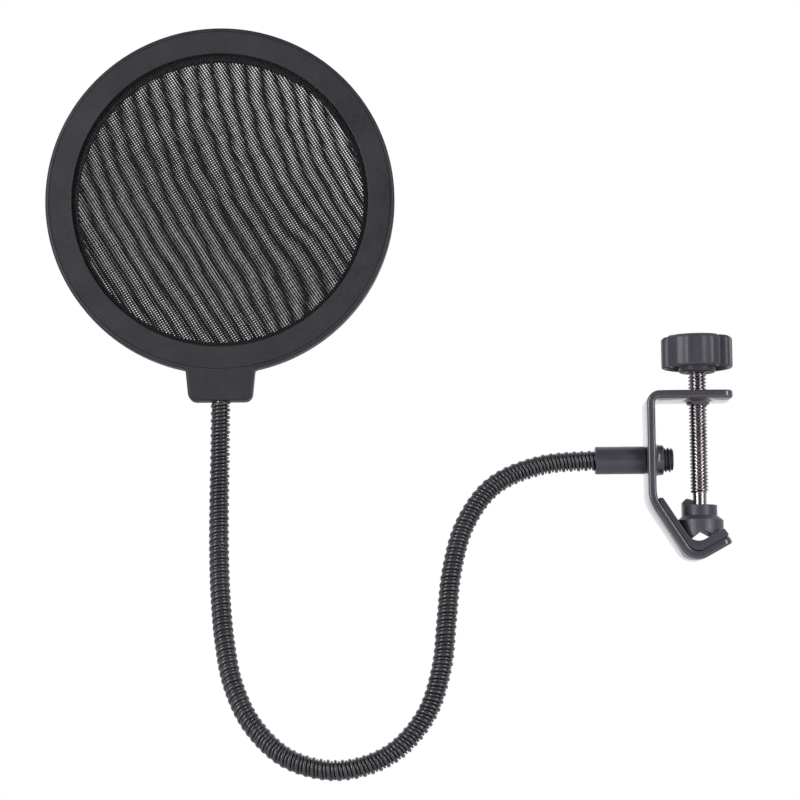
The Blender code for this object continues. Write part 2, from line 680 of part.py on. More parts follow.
def clamp_knob(parts, cutters):
    """The moulded knob: a lobed cap, hollow below, with a hub that holds the hexagon nut."""
    middle = KNOB_BOTTOM + KNOB_HEIGHT / 2
    cap = prism(knob_outline(0.0), KNOB_HEIGHT, 0.9 * MM, Matrix.Translation((0.0, 0.0, middle)))
    knob = put("clamp_knob", cap, BLACK_ABS, parts)
    hollow_top = KNOB_BOTTOM + KNOB_HEIGHT - 2.6 * MM
    hollow_middle = (hollow_top + KNOB_BOTTOM - 3.0 * MM) / 2
    hollow_depth = hollow_top - KNOB_BOTTOM + 3.0 * MM
    hollow = put(
        "knob_hollow",
        prism(knob_outline(2.2 * MM), hollow_depth, 0.0, Matrix.Translation((0.0, 0.0, hollow_middle))),
        None, cutters,
    )
    boolean(knob, "DIFFERENCE", hollow)
    hub = (
        (HUB_RADIUS, hollow_top + 1.0 * MM), (HUB_RADIUS, HUB_BOTTOM + 0.8 * MM),
        (HUB_RADIUS - 0.8 * MM, HUB_BOTTOM), (0.0, HUB_BOTTOM), (0.0, hollow_top + 1.0 * MM),
    )
    boolean(knob, "UNION", put("knob_hub", turned(hub, 36), None, cutters))
    bore = SCREW_DIAMETER / 2 + GAP
    bore_top = SCREW_TOP + GAP
    bore_profile = ((bore, bore_top), (bore, 60 * MM), (0.0, 60 * MM), (0.0, bore_top))
    boolean(knob, "DIFFERENCE", put("knob_bore", turned(bore_profile, 24), None, cutters))
    across = NUT_ACROSS_FLATS / math.sqrt(3.0) + GAP
    nut_low, nut_high = knob_nut_heights()
    pocket = ((across, nut_high + GAP), (across, nut_low - GAP), (0.0, nut_low - GAP),
              (0.0, nut_high + GAP))
    boolean(knob, "DIFFERENCE", put("nut_pocket", turned(pocket, 6), None, cutters))


def knob_nut_heights():
    return KNOB_BOTTOM + 1.0 * MM, KNOB_BOTTOM + 6.0 * MM


def knob_nut(parts, cutters):
    """The hexagon nut moulded into the knob's hub, locked on the screw."""
    low, high = knob_nut_heights()
    across = NUT_ACROSS_FLATS / math.sqrt(3.0)
    profile = ((across, high), (across, low), (0.0, low), (0.0, high))
    nut = put("knob_nut", turned(profile, 6), BRIGHT_STEEL, parts)
    bore = SCREW_DIAMETER / 2 + GAP
    bore_profile = ((bore, high + MM), (bore, low - MM), (0.0, low - MM), (0.0, high + MM))
    boolean(nut, "DIFFERENCE", put("nut_bore", turned(bore_profile, 24), None, cutters))


def main():
    clear_scene()
    parts = new_collection("pop_filter")
    cutters = new_collection("cutters")
    hoop_half("front_ring", False, parts, cutters)
    hoop_half("rear_ring", True, parts, cutters)
    screens(parts)
    tab_screw("tab_screw_left", -SCREW_X, parts, cutters)
    tab_screw("tab_screw_right", SCREW_X, parts, cutters)
    end_fitting(parts)
    arm(parts)
    bushing_and_sleeve(parts)
    clamp_bracket(parts, cutters)
    jaw_liner(parts)
    swivel_foot(parts, cutters)
    clamp_screw(parts)
    clamp_knob(parts, cutters)
    knob_nut(parts, cutters)


main()
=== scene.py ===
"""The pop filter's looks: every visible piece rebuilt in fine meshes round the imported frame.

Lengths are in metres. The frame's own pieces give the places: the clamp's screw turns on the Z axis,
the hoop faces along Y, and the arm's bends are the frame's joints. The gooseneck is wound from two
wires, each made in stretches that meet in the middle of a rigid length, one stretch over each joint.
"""

import json
import math

import bmesh
import bpy
import numpy as np
from mathutils import Matrix, Vector


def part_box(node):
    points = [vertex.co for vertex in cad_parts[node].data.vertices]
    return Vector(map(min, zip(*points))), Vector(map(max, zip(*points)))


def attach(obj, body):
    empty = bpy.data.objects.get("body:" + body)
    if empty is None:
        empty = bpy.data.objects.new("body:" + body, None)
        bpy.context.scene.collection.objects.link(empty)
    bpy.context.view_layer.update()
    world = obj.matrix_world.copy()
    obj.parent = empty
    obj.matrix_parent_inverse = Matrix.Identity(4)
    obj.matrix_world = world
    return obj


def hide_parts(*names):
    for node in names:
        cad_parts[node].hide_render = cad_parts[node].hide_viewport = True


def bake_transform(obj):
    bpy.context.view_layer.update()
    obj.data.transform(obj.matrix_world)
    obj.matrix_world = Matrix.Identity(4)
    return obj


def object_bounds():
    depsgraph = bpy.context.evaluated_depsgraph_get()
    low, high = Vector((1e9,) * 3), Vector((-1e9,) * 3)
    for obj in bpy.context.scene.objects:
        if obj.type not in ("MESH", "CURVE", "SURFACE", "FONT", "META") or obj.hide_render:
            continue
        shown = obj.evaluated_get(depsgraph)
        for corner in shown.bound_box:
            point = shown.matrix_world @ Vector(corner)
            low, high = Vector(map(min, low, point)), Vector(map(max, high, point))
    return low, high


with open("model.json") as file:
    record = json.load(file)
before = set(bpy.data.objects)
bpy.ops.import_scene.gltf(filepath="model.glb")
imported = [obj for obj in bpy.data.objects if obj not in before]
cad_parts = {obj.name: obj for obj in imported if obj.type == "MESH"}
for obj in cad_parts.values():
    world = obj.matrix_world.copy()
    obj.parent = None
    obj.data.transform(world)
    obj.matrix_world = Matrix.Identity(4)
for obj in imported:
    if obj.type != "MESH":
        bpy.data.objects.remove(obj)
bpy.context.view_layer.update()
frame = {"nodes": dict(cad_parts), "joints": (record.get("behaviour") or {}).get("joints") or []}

MM = 0.001
TAU = 2.0 * math.pi


# ---------------------------------------------------------------- places read from the frame

def corners(node):
    low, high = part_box(node)
    return Vector(low), Vector(high)


def joint_named(name):
    return next(joint for joint in frame["joints"] if joint["name"] == name)


RING_LOW, RING_HIGH = corners("front_ring")
REAR_HIGH = corners("rear_ring")[1]
HOOP_RADIUS = (RING_HIGH.x - RING_LOW.x) / 2
HOOP = Vector(((RING_LOW.x + RING_HIGH.x) / 2, (RING_LOW.y + REAR_HIGH.y) / 2, RING_HIGH.z - HOOP_RADIUS))
HOOP_THICKNESS = REAR_HIGH.y - RING_LOW.y
TAB_DROP = HOOP.z - RING_LOW.z

BRACKET_LOW, BRACKET_HIGH = corners("clamp_bracket")
SPINE_X = BRACKET_LOW.x
TOP_ARM_Z = BRACKET_HIGH.z
STRIP_WIDTH = BRACKET_HIGH.y - BRACKET_LOW.y
SLEEVE_LOW, SLEEVE_HIGH = corners("neck_sleeve")
SLEEVE_RADIUS = (SLEEVE_HIGH.z - SLEEVE_LOW.z) / 2
ARM_HEIGHT = (SLEEVE_HIGH.z + SLEEVE_LOW.z) / 2
STUB_TIP = corners("neck_bushing")[1].x
KNOB_LOW, KNOB_HIGH = corners("clamp_knob")
SCREW_TOP = corners("clamp_screw")[1].z

# ---------------------------------------------------------------- sizes the boxes don't give

FRONT_LIP = 11.7 * MM  # from the hoop's outer edge in to the front opening's wall
REAR_LIP = 13.9 * MM
HOOP_WALL = 1.8 * MM
HOOP_FLOOR = 2.0 * MM
SCREEN_RADIUS = HOOP_RADIUS - 4.2 * MM
SCREEN_DEPTH = 2.4 * MM  # from a face of the hoop in to its screen
STRIP_THICKNESS = 3.55 * MM
LINER_BACK = 3.50 * MM  # where the liner lies on the strip, from the legs' outer lines
LEFT_SEAT = 5.75 * MM  # the vee's two seats, from the same lines
RIGHT_SEAT = 7.1 * MM
BALL_HEIGHT = 10.2 * MM
SHANK_TOP = 21.0 * MM
KNOB_RADIUS = 15.4 * MM
KNOB_NOTCH_TURN = 46.0  # degrees
RIM_HEIGHT = 14.0 * MM
SCREW_PITCH = 1.5 * MM
STUB_PITCH = 1.58 * MM
COIL_PITCH = 3.27 * MM

# The arm's centre line from the hoop's tab to the clamp, in millimetres, as the CAD part has it.
ARM_ROUTE = (
    (-207.8, 25.0, 65.0),
    (-208.1, 24.3, 39.0),
    (-208.2, 19.9, 17.5),
    (-207.7, 12.0, -3.0),
    (-206.4, 2.0, -22.5),
    (-204.0, -8.8, -41.5),
    (-199.7, -19.7, -60.0),
    (-190.7, -29.9, -77.2),
    (-175.5, -38.0, -90.6),
    (-154.8, -41.9, -95.2),
    (-134.0, -40.7, -88.9),
    (-119.3, -36.5, -73.5),
    (-112.3, -30.6, -53.7),
    (-109.8, -23.7, -33.0),
    (-107.3, -16.7, -12.3),
    (-101.3, -10.1, 7.9),
    (-88.9, -4.7, 24.5),
    (-69.2, -1.0, 33.3),
    (-46.0, 0.0, 35.5),
    (-22.7, 0.0, 35.5),
)


# ---------------------------------------------------------------- materials

class Nodes:
    """A small helper that builds one node material."""

    def __init__(self, name):
        self.material = bpy.data.materials.new(name)
        self.material.use_nodes = True
        self.tree = self.material.node_tree
        self.shader = self.tree.nodes["Principled BSDF"]
        self.place = self.tree.nodes.new("ShaderNodeTexCoord").outputs["Object"]

    def node(self, kind, **settings):
        made = self.tree.nodes.new(kind)
        for key, value in settings.items():
            setattr(made, key, value)
        return made

    def link(self, source, target):
        self.tree.links.new(source, target)

    def noise(self, scale, detail=3.0):
        made = self.node("ShaderNodeTexNoise")
        made.inputs["Scale"].default_value = scale
        made.inputs["Detail"].default_value = detail
        self.link(self.place, made.inputs["Vector"])
        return made.outputs["Fac"]

    def stretched_noise(self, scales):
        """Noise with its own scale along each axis, for brushed or turned surfaces."""
        mapping = self.node("ShaderNodeMapping")
        mapping.inputs["Scale"].default_value = scales
        self.link(self.place, mapping.inputs["Vector"])
        made = self.node("ShaderNodeTexNoise")
        made.inputs["Scale"].default_value = 1.0
        made.inputs["Detail"].default_value = 2.0
        self.link(mapping.outputs["Vector"], made.inputs["Vector"])
        return made.outputs["Fac"]

    def cells(self, scale):
        made = self.node("ShaderNodeTexVoronoi")
        made.inputs["Scale"].default_value = scale
        self.link(self.place, made.inputs["Vector"])
        return made.outputs["Distance"]

    def spread(self, source, low, high, start=0.3, stop=0.7):
        """The stretch of a value from start to stop, spread from low to high."""
        made = self.node("ShaderNodeMapRange")
        made.inputs["From Min"].default_value = start
        made.inputs["From Max"].default_value = stop
        made.inputs["To Min"].default_value = low
        made.inputs["To Max"].default_value = high
        self.link(source, made.inputs["Value"])
        return made.outputs["Result"]

    def colours(self, source, first, second, start=0.3, stop=0.7):
        ramp = self.node("ShaderNodeValToRGB")
        ramp.color_ramp.elements[0].position = start
        ramp.color_ramp.elements[0].color = (*first, 1.0)
        ramp.color_ramp.elements[1].position = stop
        ramp.color_ramp.elements[1].color = (*second, 1.0)
        self.link(source, ramp.inputs["Fac"])
        return ramp.outputs["Color"]

    def bump(self, *layers):
        """Bump from (height, strength, distance) layers, one on the next."""
        previous = None
        for height, strength, distance in layers:
            made = self.node("ShaderNodeBump")
            made.inputs["Strength"].default_value = strength
            made.inputs["Distance"].default_value = distance
            self.link(height, made.inputs["Height"])
            if previous is not None:
                self.link(previous, made.inputs["Normal"])
            previous = made.outputs["Normal"]
        self.link(previous, self.shader.inputs["Normal"])

    def base(self, colour):
        self.link(colour, self.shader.inputs["Base Color"])

    def rough(self, value):
        self.link(value, self.shader.inputs["Roughness"])

    def painted_edge_highlight(self, colour, highlight_colour, amount):
        """Painted highlight: slightly paler edges where the surface turns sharply."""
        edges = self.node("ShaderNodeNewGeometry").outputs["Pointiness"]
        mask = self.spread(edges, 0.0, amount, 0.52, 0.60)
        mix = self.node("ShaderNodeMix", data_type="RGBA")
        self.link(mask, mix.inputs["Factor"])
        self.link(colour, mix.inputs["A"])
        mix.inputs["B"].default_value = (*highlight_colour, 1.0)
        return mix.outputs["Result"]


def moulded_plastic(name, dark, light, roughness, grain, specular=0.5, coat=0.0, edges=0.5):
    """Black moulded plastic with a spark-eroded grain and faint blotches.

    edges is how strong the painted highlight on its sharp edges is. On a broad flat face it is 0, as the
    mask is read at the mesh's points and would streak between far ones.
    """
    made = Nodes(name)
    blotch = made.noise(55.0, 4.0)
    colour = made.colours(blotch, dark, light, 0.35, 0.65)
    # painted highlight: sharp edges get a paler colour, standing in for light caught on them
    highlight_colour = tuple(min(1.0, channel * 2.2) for channel in light)
    made.base(made.painted_edge_highlight(colour, highlight_colour, edges) if edges else colour)
    made.rough(made.spread(made.noise(420.0), roughness - 0.05, roughness + 0.06))
    made.bump(
        (made.noise(2600.0, 2.0), grain, 0.00006),
        (made.cells(1900.0), grain * 0.7, 0.00004),
    )
    made.shader.inputs["Specular IOR Level"].default_value = specular
    made.shader.inputs["Coat Weight"].default_value = coat
    made.shader.inputs["Coat Roughness"].default_value = 0.25
    return made.material


def coated_steel(name, dark, light, roughness, texture, coat):
    """Powder coat over steel: even colour, a fine orange-peel surface, a soft gloss and a painted highlight
    on sharp edges.
    """
    made = Nodes(name)
    colour = made.colours(made.noise(90.0), dark, light, 0.35, 0.65)
    # painted highlight: the coat's sharp edges get a paler colour, standing in for light caught on them
    highlight_colour = tuple(min(1.0, channel * 2.0) for channel in light)
    made.base(made.painted_edge_highlight(colour, highlight_colour, 0.45))
    made.rough(made.spread(made.noise(600.0, 2.0), roughness - 0.04, roughness + 0.05))
    made.bump((made.noise(1500.0, 2.0), texture, 0.00005))
    made.shader.inputs["Specular IOR Level"].default_value = 0.5
    made.shader.inputs["Coat Weight"].default_value = coat
    made.shader.inputs["Coat Roughness"].default_value = 0.06
    return made.material


def bright_steel(name, tint, shade, roughness, lines):
    """Plated steel with fine turning lines round its axis and a little darkening in patches."""
    made = Nodes(name)
    patches = made.noise(160.0, 4.0)
    made.base(made.colours(patches, shade, tint, 0.3, 0.6))
    made.rough(made.spread(made.noise(900.0, 2.0), roughness - 0.05, roughness + 0.08))
    made.bump((made.stretched_noise((300.0, 300.0, 9000.0)), lines, 0.00003))
    made.shader.inputs["Metallic"].default_value = 1.0
    return made.material


def woven_nylon(name):
    made = Nodes(name)
    made.base(made.colours(made.noise(700.0), (0.0022, 0.0022, 0.0027), (0.0080, 0.0077, 0.0090)))
    made.rough(made.spread(made.noise(2000.0, 2.0), 0.42, 0.60))
    made.bump((made.noise(9000.0, 1.0), 0.3, 0.00002))
    made.shader.inputs["Sheen Weight"].default_value = 0.04
    made.shader.inputs["Sheen Roughness"].default_value = 0.4
    made.shader.inputs["Specular IOR Level"].default_value = 0.35
    return made.material


HOOP_LOOK = moulded_plastic(
    "hoop satin plastic", (0.0165, 0.016, 0.0205), (0.026, 0.025, 0.031), 0.50, 0.85, specular=0.4, edges=0.0
)
SLEEVE_LOOK = moulded_plastic(
    "sleeve plastic", (0.027, 0.026, 0.038), (0.033, 0.032, 0.044), 0.38, 0.20, specular=0.6, coat=0.45
)
KNOB_LOOK = moulded_plastic(
    "knob plastic", (0.034, 0.033, 0.045), (0.044, 0.042, 0.056), 0.46, 0.10, specular=0.4, coat=0.22
)
PAD_LOOK = moulded_plastic("pad plastic", (0.032, 0.031, 0.043), (0.042, 0.041, 0.054), 0.42, 0.15)
FOOT_LOOK = moulded_plastic("foot plastic", (0.044, 0.043, 0.058), (0.056, 0.054, 0.071), 0.40, 0.15)
CLAMP_LOOK = coated_steel(
    "clamp powder coat", (0.043, 0.041, 0.053), (0.054, 0.052, 0.065), 0.35, texture=0.01, coat=1.0
)
COIL_LOOK = coated_steel(
    "coil black steel", (0.023, 0.022, 0.027), (0.036, 0.035, 0.041), 0.27, texture=0.06, coat=0.4
)
FITTING_LOOK = coated_steel(
    "black oxide steel", (0.032, 0.031, 0.041), (0.044, 0.042, 0.053), 0.36, texture=0.08, coat=0.3
)
SCREW_LOOK = bright_steel("plated steel", (0.46, 0.43, 0.445), (0.27, 0.25, 0.26), 0.17, 0.10)
BRASS_LOOK = bright_steel("turned brass", (0.72, 0.53, 0.26), (0.55, 0.40, 0.20), 0.26, 0.35)
NET_LOOK = woven_nylon("woven nylon")


# ---------------------------------------------------------------- mesh helpers

def smooth_mesh(mesh, angle=35.0):
    """The same mesh, welded, facing outwards and smooth but for edges sharper than the angle."""
    cleaned = bmesh.new()
    cleaned.from_mesh(mesh)
    bmesh.ops.remove_doubles(cleaned, verts=cleaned.verts, dist=1e-7)
    bmesh.ops.dissolve_degenerate(cleaned, edges=cleaned.edges, dist=1e-7)
    bmesh.ops.recalc_face_normals(cleaned, faces=cleaned.faces)
    cleaned.to_mesh(mesh)
    cleaned.free()
    mesh.shade_smooth()
    mesh.set_sharp_from_angle(angle=math.radians(angle))
    return mesh


def mesh_from(points, faces):
    mesh = bpy.data.meshes.new("mesh")
    mesh.from_pydata([tuple(point) for point in points], [], faces)
    return mesh


def piece(name, mesh, look, angle=35.0):
    obj = bpy.data.objects.new(name, smooth_mesh(mesh, angle))
    bpy.context.scene.collection.objects.link(obj)
    mesh.materials.clear()
    mesh.materials.append(look)
    return obj


def helper(mesh):
    obj = bpy.data.objects.new("helper", smooth_mesh(mesh))
    bpy.context.scene.collection.objects.link(obj)
    return obj


def baked(obj):
    """The evaluated mesh of an object in world space; the object is removed."""
    bpy.context.view_layer.update()
    graph = bpy.context.evaluated_depsgraph_get()
    mesh = bpy.data.meshes.new_from_object(obj.evaluated_get(graph))
    mesh.transform(obj.matrix_world)
    bpy.data.objects.remove(obj, do_unlink=True)
    return mesh


def combined(mesh, operation, *others):
    """A mesh with the other meshes joined to it or cut from it."""
    obj = helper(mesh)
    tools = []
    for other in others:
        tool = helper(other)
        change = obj.modifiers.new("Boolean", "BOOLEAN")
        change.operation = operation
        change.solver = "EXACT"
        change.object = tool
        tools.append(tool)
    made = baked(obj)
    for tool in tools:
        bpy.data.objects.remove(tool, do_unlink=True)
    return smooth_mesh(made)


def lathe(profile, steps=96, turn=None):
    """A surface turned about Z from a closed list of (radius, height)."""
    points = []
    faces = []
    rings = []
    for radius, height in profile:
        if radius < 1e-9:
            rings.append([len(points)] * steps)
            points.append((0.0, 0.0, height))
            continue
        rings.append(list(range(len(points), len(points) + steps)))
        for step in range(steps):
            angle = TAU * step / steps
            points.append((radius * math.cos(angle), radius * math.sin(angle), height))
    for index, ring in enumerate(rings):
        other = rings[(index + 1) % len(rings)]
        if ring[0] == ring[1] and other[0] == other[1]:
            continue
        for step in range(steps):
            following = (step + 1) % steps
            face = [ring[step], ring[following], other[following], other[step]]
            faces.append(list(dict.fromkeys(face)))
    mesh = mesh_from(points, faces)
    if turn is not None:
        mesh.transform(turn)
    return mesh


def rounded(corners_given, arc_step=6.0):
    """A path through corners given as (x, y, radius), each corner replaced by an arc."""
    points = []
    for index, (x, y, radius) in enumerate(corners_given):
        corner = Vector((x, y))
        if radius == 0.0:
            points.append(corner)
            continue
        before = Vector(corners_given[index - 1][:2])
        after = Vector(corners_given[(index + 1) % len(corners_given)][:2])
        arriving = (corner - before).normalized()
        leaving = (after - corner).normalized()
        angle = arriving.angle(leaving)
        side = 1.0 if arriving.cross(leaving) > 0.0 else -1.0
        start = corner - arriving * radius * math.tan(angle / 2)
        normal = Vector((-arriving.y, arriving.x)) * side
        centre = start + normal * radius
        steps = max(2, round(math.degrees(angle) / arc_step))
        for step in range(steps + 1):
            spoke = -normal * radius
            spoke.rotate(Matrix.Rotation(side * angle * step / steps, 2))
            points.append(centre + spoke)
    return points


def prism(outlines, depth, bevel=0.0, turn=None, resolution=3):
    """Flat outlines in XY, the later ones holes, with a depth along Z and rounded edges."""
    curve = bpy.data.curves.new("prism", "CURVE")
    curve.dimensions = "2D"
    curve.fill_mode = "BOTH"
    for outline in outlines:
        spline = curve.splines.new("POLY")
        spline.points.add(len(outline) - 1)
        for point, (x, y) in zip(spline.points, outline):
            point.co = (x, y, 0.0, 1.0)
        spline.use_cyclic_u = True
    curve.extrude = depth / 2 - bevel
    curve.bevel_depth = bevel
    curve.bevel_resolution = resolution
    curve.offset = -bevel
    obj = bpy.data.objects.new("prism", curve)
    bpy.context.scene.collection.objects.link(obj)
    if turn is not None:
        obj.matrix_world = turn
    return smooth_mesh(baked(obj))


def cut_flat(mesh, point, normal):
    """The part of a closed mesh behind a plane, closed again on it."""
    work = bmesh.new()
    work.from_mesh(mesh)
    geometry = work.verts[:] + work.edges[:] + work.faces[:]
    cut = bmesh.ops.bisect_plane(
        work, geom=geometry, dist=1e-8, plane_co=point, plane_no=normal, clear_outer=True
    )
    edges = [item for item in cut["geom_cut"] if isinstance(item, bmesh.types.BMEdge)]
    bmesh.ops.triangle_fill(work, edges=edges, use_beauty=True, normal=Vector(normal))
    made = bpy.data.meshes.new("cut")
    work.to_mesh(made)
    work.free()
    return smooth_mesh(made)


def tube_faces(first, rings, sides):
    """The faces of a closed tube: rings of points, numbered from the first one, with a cap at each end."""
    faces = []
    for ring in range(rings - 1):
        low = first + ring * sides
        high = low + sides
        for side in range(sides):
            following = (side + 1) % sides
            faces.append((low + side, low + following, high + following, high + side))
    last = first + (rings - 1) * sides
    faces.append(tuple(range(first + sides - 1, first - 1, -1)))
    faces.append(tuple(range(last, last + sides)))
    return faces


def joined(*meshes):
    """Several meshes in one, each still a closed body of its own."""
    work = bmesh.new()
    for mesh in meshes:
        work.from_mesh(mesh)
    made = bpy.data.meshes.new("joined")
    work.to_mesh(made)
    work.free()
    return made


def arc(centre, radius, start, stop, steps):
    """Points of a circular arc, with its angles in degrees."""
    points = []
    for step in range(steps + 1):
        angle = math.radians(start + (stop - start) * step / steps)
        points.append((centre[0] + radius * math.cos(angle), centre[1] + radius * math.sin(angle)))
    return points


FRONT_TO_BACK = Matrix.Rotation(math.radians(-90.0), 4, "X")  # local +Z becomes world +Y
UPRIGHT_OUTLINE = Matrix.Rotation(math.radians(90.0), 4, "X")  # local XY becomes world XZ
ALONG_X = Matrix.Rotation(math.radians(90.0), 4, "Y")  # local +Z becomes world +X


def at_hoop(turn):
    return Matrix.Translation(HOOP) @ turn


# ---------------------------------------------------------------- the hoop and its screens

def hoop_outline():
    """The hoop's outer circle and its tab in one line, with small fillets where they meet."""
    half_top = 15.3 * MM
    half_bottom = 13.9 * MM
    fillet = 0.9 * MM
    meeting = -math.sqrt(HOOP_RADIUS**2 - (15.2 * MM) ** 2)
    tab = rounded(
        (
            (-half_top, meeting, 0.0),
            (-half_bottom, -TAB_DROP, 3.6 * MM),
            (half_bottom, -TAB_DROP, 3.6 * MM),
            (half_top, meeting, 0.0),
        ),
        9.0,
    )[1:-1]
    start = math.degrees(math.atan2(meeting, half_top)) % 360.0
    turn = math.degrees(fillet / HOOP_RADIUS)
    circle = arc((0.0, 0.0), HOOP_RADIUS, start + turn, start + turn + 2 * (450.0 - start - turn), 220)
    right = Vector((half_top, meeting))
    down = (Vector(tab[-1]) - right).normalized()
    corner_right = [right + down * fillet, right + down * fillet * 0.45 + Vector((0.12 * MM, 0.02 * MM))]
    corner_left = [Vector((-point.x, point.y)) for point in reversed(corner_right)]
    return [*circle, *corner_left, *tab, *corner_right]


def hoop_shell(name, back):
    """One half of the hoop: the rounded section, parted in the middle and hollowed inside."""
    whole = prism((hoop_outline(),), HOOP_THICKNESS, 1.3 * MM, at_hoop(UPRIGHT_OUTLINE), 4)
    side = 1.0 if back else -1.0
    parting = Vector((0.0, HOOP.y + side * 0.12 * MM, 0.0))
    half = cut_flat(whole, parting, (0.0, -side, 0.0))
    face = HOOP_THICKNESS / 2
    seat = face - 2.3 * MM
    lip = HOOP_RADIUS - (REAR_LIP if back else FRONT_LIP)
    opening = lathe(
        tuple(
            (radius, side * depth) for radius, depth in (
                (0.0, -MM), (lip, -MM), (lip, seat), (lip, face - 0.55 * MM),
                (lip + 0.12 * MM, face - 0.2 * MM), (lip + 0.45 * MM, face),
                (lip + 0.9 * MM, face + MM), (0.0, face + MM),
            )
        ),
        192, at_hoop(FRONT_TO_BACK),
    )
    wall = HOOP_RADIUS - HOOP_WALL
    floor = face - HOOP_FLOOR
    hollow = lathe(
        ((wall, floor), (wall, -floor), (0.0, -floor), (0.0, floor)), 180, at_hoop(FRONT_TO_BACK)
    )
    pocket_top = -TAB_DROP + 10.9 * MM
    pocket = lathe(
        ((3.9 * MM, pocket_top), (3.9 * MM, -TAB_DROP + 3.3 * MM), (2.9 * MM, -TAB_DROP + 3.3 * MM),
         (2.9 * MM, -TAB_DROP - 2.0 * MM), (0.0, -TAB_DROP - 2.0 * MM), (0.0, pocket_top)),
        48, Matrix.Translation(HOOP),
    )
    line = HOOP_RADIUS - 1.75 * MM
    groove = lathe(
        ((line + 0.22 * MM, side * (face + 0.5 * MM)), (line + 0.16 * MM, side * (face - 0.02 * MM)),
         (line, side * (face - 0.22 * MM)), (line - 0.16 * MM, side * (face - 0.02 * MM)),
         (line - 0.22 * MM, side * (face + 0.5 * MM))),
        220, at_hoop(FRONT_TO_BACK),
    )
    cutters = [opening, hollow, pocket, groove]
    if back:
        screw_hole = (
            (2.9 * MM, face + MM), (2.9 * MM, face - 1.8 * MM), (1.6 * MM, face - 1.8 * MM),
            (1.6 * MM, -MM), (0.0, -MM), (0.0, face + MM),
        )
        for x in (-9.6 * MM, 9.6 * MM):
            place = Matrix.Translation(HOOP + Vector((x, 0.0, -TAB_DROP + 7.0 * MM))) @ FRONT_TO_BACK
            cutters.append(lathe(screw_hole, 40, place))
    shell = piece(name, combined(half, "DIFFERENCE", *cutters), HOOP_LOOK, 30.0)
    even = shell.modifiers.new("even normals", "WEIGHTED_NORMAL")
    even.keep_sharp = True
    return shell


def slack(x, y):
    """How far the rear screen's weave is drawn aside at a point, in millimetres: it is clamped askew."""
    right = max(x + 5.0, 0.0) ** 2 / 55.0
    drawn = -0.0004 * (y - 25.0) ** 2 + 2.0e-6 * (x + 20.0) ** 3 + 0.0002 * y * right
    corner = math.exp(-((x - 45.0) ** 2 + (y + 45.0) ** 2) / 800.0)
    drawn -= (0.10 * (y + 45.0) + 0.04 * (x - 45.0)) * corner
    ripple = 0.06 * math.sin(TAU * (y + 0.4 * x) / 14.0) * math.sin(TAU * (x - 0.6 * y) / 37.0)
    return drawn + ripple + 0.05 * math.sin(TAU * (x - 0.3 * y) / 27.0)


def slight(x, y):
    """The little waviness of an evenly stretched screen, in millimetres."""
    return 0.05 * math.sin(TAU * (x + 0.3 * y) / 31.0) + 0.04 * math.sin(TAU * (y - 0.5 * x) / 23.0)


def shifted(x, y):
    """The same waviness, moved over by about half the threads' pitch."""
    return slight(x, y) + 0.64


def thread_set(points, faces, radius, pitch, angle, thread, lift, drawn, random):
    """One set of parallel threads of a screen, each a thin tube from rim to rim.

    drawn(x, y) gives how far the weave is pulled aside, in millimetres. It fades out at the clamped rim.
    """
    sides = 6
    stray = 0.025  # how far a thread lies out of place, in pitches
    uneven = 0.05  # how much the threads' thickness varies
    turn = math.radians(angle + 90.0)
    along = np.array([math.cos(turn), math.sin(turn)])
    across = np.array([-along[1], along[0]])
    count = int(radius / pitch)
    for index in range(-count, count + 1):
        shift = index * pitch + random.normal(0.0, pitch * stray)
        if abs(shift) > radius * 0.995:
            continue
        reach = math.sqrt(radius**2 - shift**2)
        stations = max(3, int(2.0 * reach / (3.5 * MM)))
        start = len(points)
        half = thread / 2 * (1.0 + random.normal(0.0, uneven))
        for station in range(stations + 1):
            t = -reach + 2.0 * reach * station / stations
            centre = along * t + across * shift
            edge = 1.0 - min(1.0, float(centre @ centre) / radius**2)
            pull = drawn(centre[0] / MM, centre[1] / MM) * MM * min(1.0, edge * 12.0)
            centre = centre - across * pull
            for side in range(sides):
                angle_round = TAU * side / sides
                off = across * math.cos(angle_round) * half
                height = lift + math.sin(angle_round) * half
                points.append((centre[0] + off[0], centre[1] + off[1], height))
        faces.extend(tube_faces(start, stations + 1, sides))


def net(name, sets, offset, seed):
    """A woven screen of sets of threads, each (pitch, angle of its normal, thickness, how it is drawn)."""
    random = np.random.default_rng(seed)
    points = []
    faces = []
    for index, (pitch, angle, thread, drawn) in enumerate(sets):
        lift = (0.5 - index) * thread * 0.7
        thread_set(points, faces, SCREEN_RADIUS, pitch, angle, thread, lift, drawn, random)
    mesh = mesh_from(points, faces)
    mesh.transform(Matrix.Translation(HOOP + Vector((0.0, offset, 0.0))) @ UPRIGHT_OUTLINE)
    obj = bpy.data.objects.new(name, mesh)
    bpy.context.scene.collection.objects.link(obj)
    mesh.shade_smooth()
    mesh.materials.append(NET_LOOK)
    return obj


def make_hoop():
    front = hoop_shell("front_shell", False)
    rear = hoop_shell("rear_shell", True)
    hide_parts("front_ring")
    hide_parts("rear_ring")
    seat = HOOP_THICKNESS / 2 - SCREEN_DEPTH
    near = net(
        "front_screen",
        ((1.06 * MM, 32.0, 0.57 * MM, slight), (1.06 * MM, 122.0, 0.36 * MM, slight)),
        -seat, 5,
    )
    far = net(
        "rear_screen",
        ((1.242 * MM, 34.4, 0.68 * MM, slack), (1.068 * MM, 122.3, 0.36 * MM, shifted)),
        seat, 11,
    )
    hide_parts("front_mesh")
    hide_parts("rear_mesh")
    for screen in (near, far):
        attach(screen, "head")
    for shell in (front, rear):
        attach(shell, "head")


# ---------------------------------------------------------------- the wound arm

